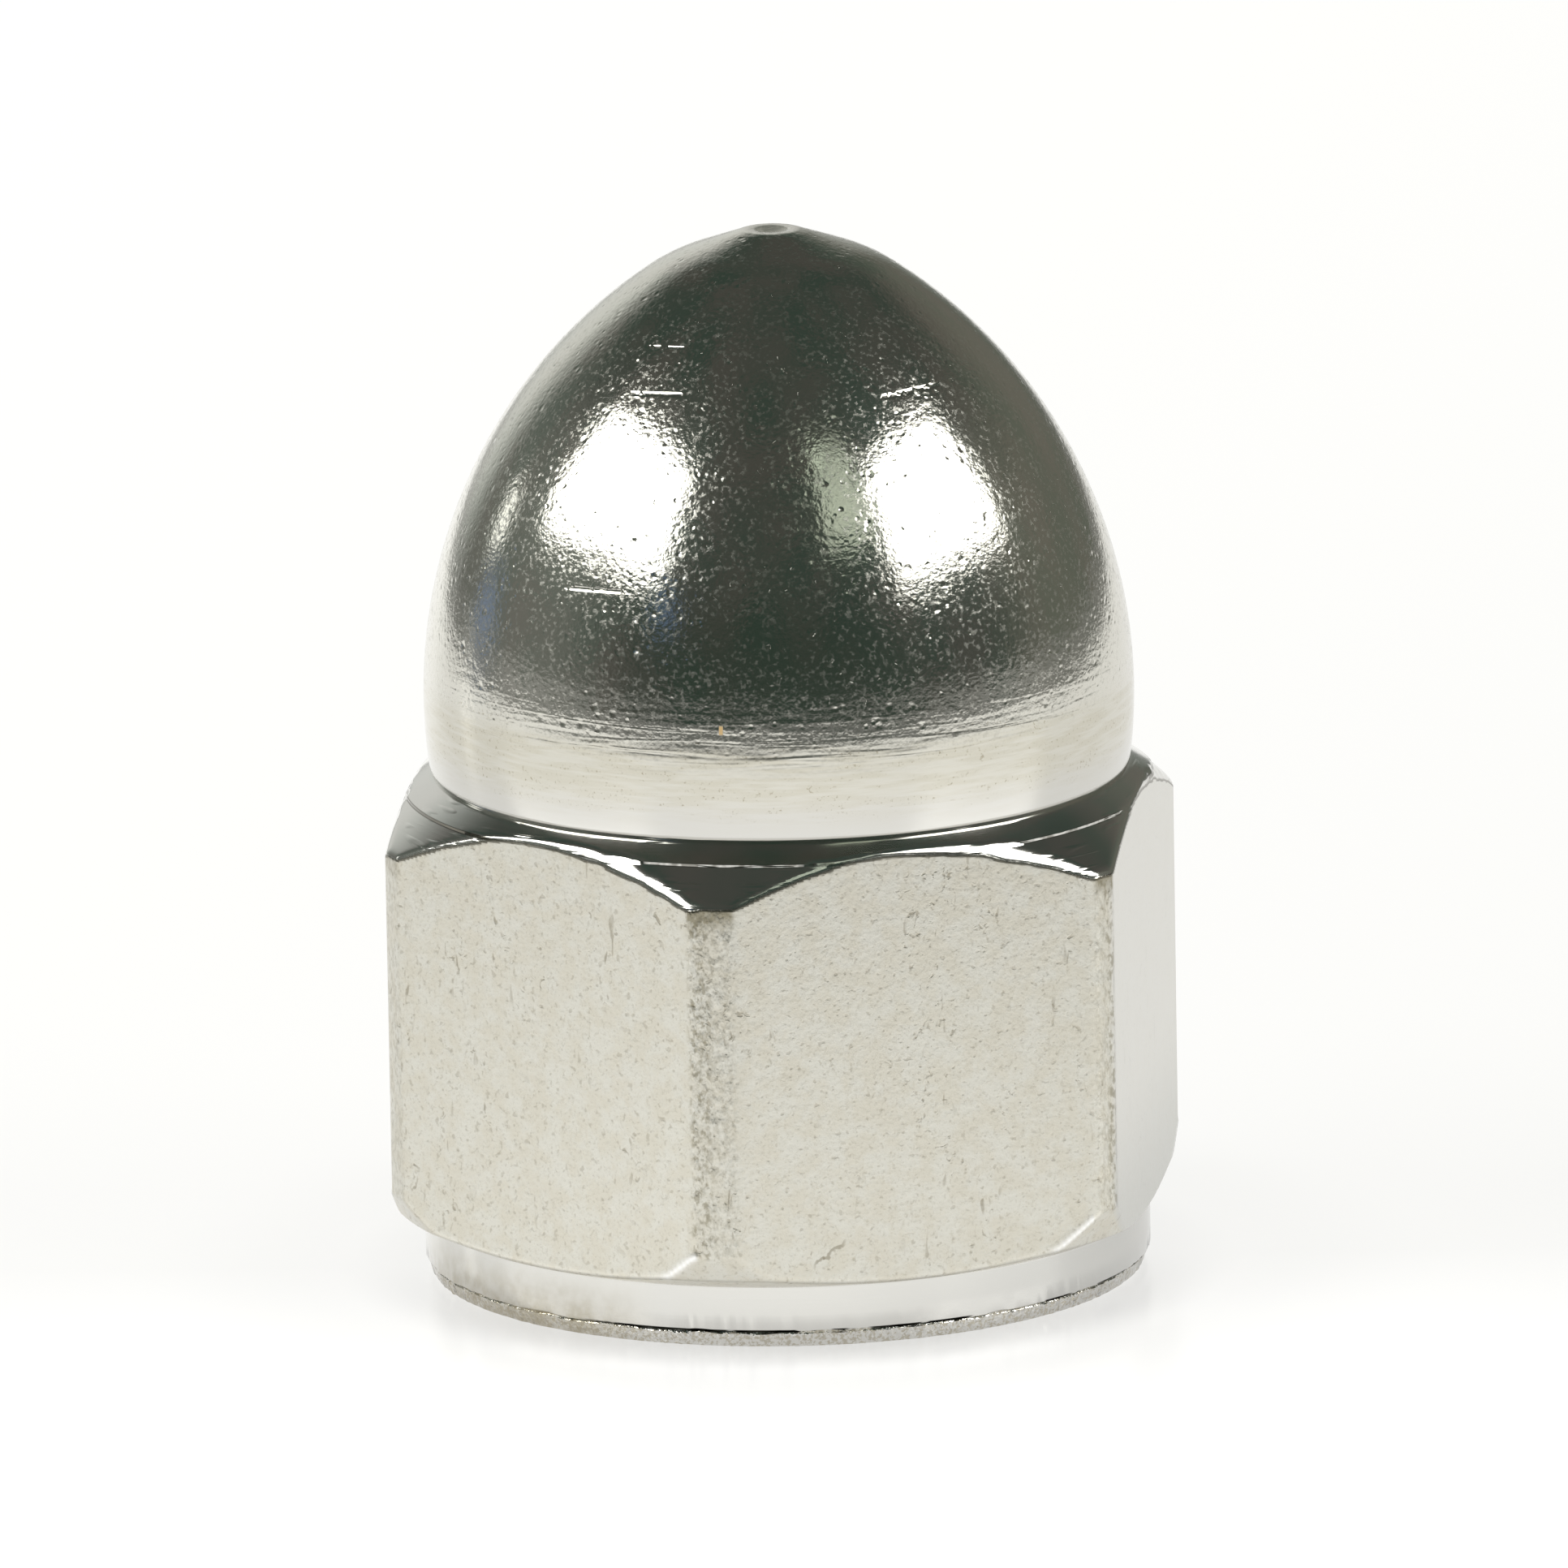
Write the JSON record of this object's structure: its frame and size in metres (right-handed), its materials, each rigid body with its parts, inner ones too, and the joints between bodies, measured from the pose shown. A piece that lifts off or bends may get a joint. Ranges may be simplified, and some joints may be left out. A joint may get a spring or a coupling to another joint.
{
  "type": "cap nut",
  "caption": "Tall cap nut with a pointed ogive crown on a chamfered hexagon, a round washer face below and a blind tapped hole from the seat.",
  "frame": {"origin": "centre of the flat seat, where the nut's axis meets the surface it stands on", "axes": "+Z along the nut's axis, from the seat to the tip of the crown; +Y square to one of the six flats"},
  "size_m": [0.0146, 0.013, 0.0187],
  "materials": {
    "bright_plate": "polished"
  },
  "bodies": {
    "root": {"cap_nut": "bright_plate"}
  },
  "joints": []
}
